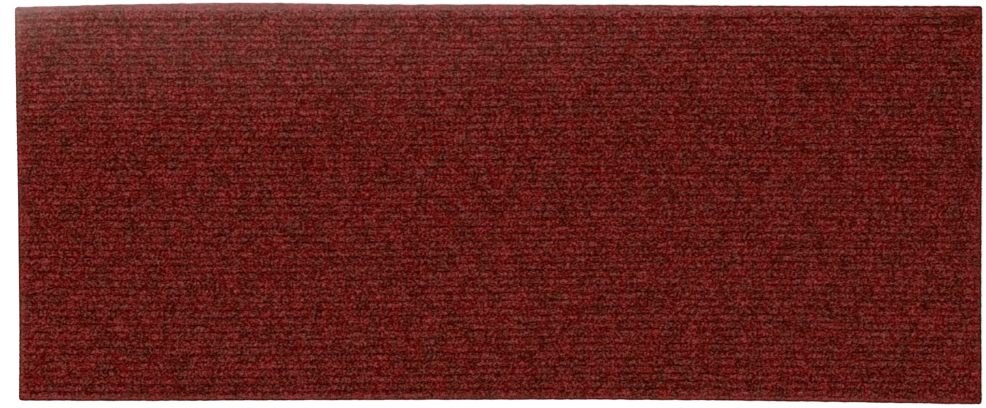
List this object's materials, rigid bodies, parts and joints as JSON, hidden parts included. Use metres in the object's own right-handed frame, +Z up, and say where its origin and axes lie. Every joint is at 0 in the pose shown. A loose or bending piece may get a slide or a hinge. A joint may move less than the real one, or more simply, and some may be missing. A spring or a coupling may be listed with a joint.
{
  "type": "anti slip stair tread mat",
  "caption": "Oblong strip of ribbed dark red needle punched carpet on a bonded rubber grip layer, laid on a step to stop feet from slipping.",
  "frame": {"origin": "middle of the underside, which lies on the step", "axes": "+X along the tread, the picture's right; +Y towards the riser, the picture's top; +Z up out of the pile"},
  "size_m": [0.562, 0.233, 0.0055],
  "materials": {
    "needle_punched_pile": "matt heathered needle punched fibre in dark and bright red with brown and tan flecks, in fine parallel ribs",
    "grip_rubber": "matt black rubber with a fine even grain"
  },
  "bodies": {
    "root": {"ribbed_carpet": "needle_punched_pile", "rubber_backing": "grip_rubber"}
  },
  "joints": []
}
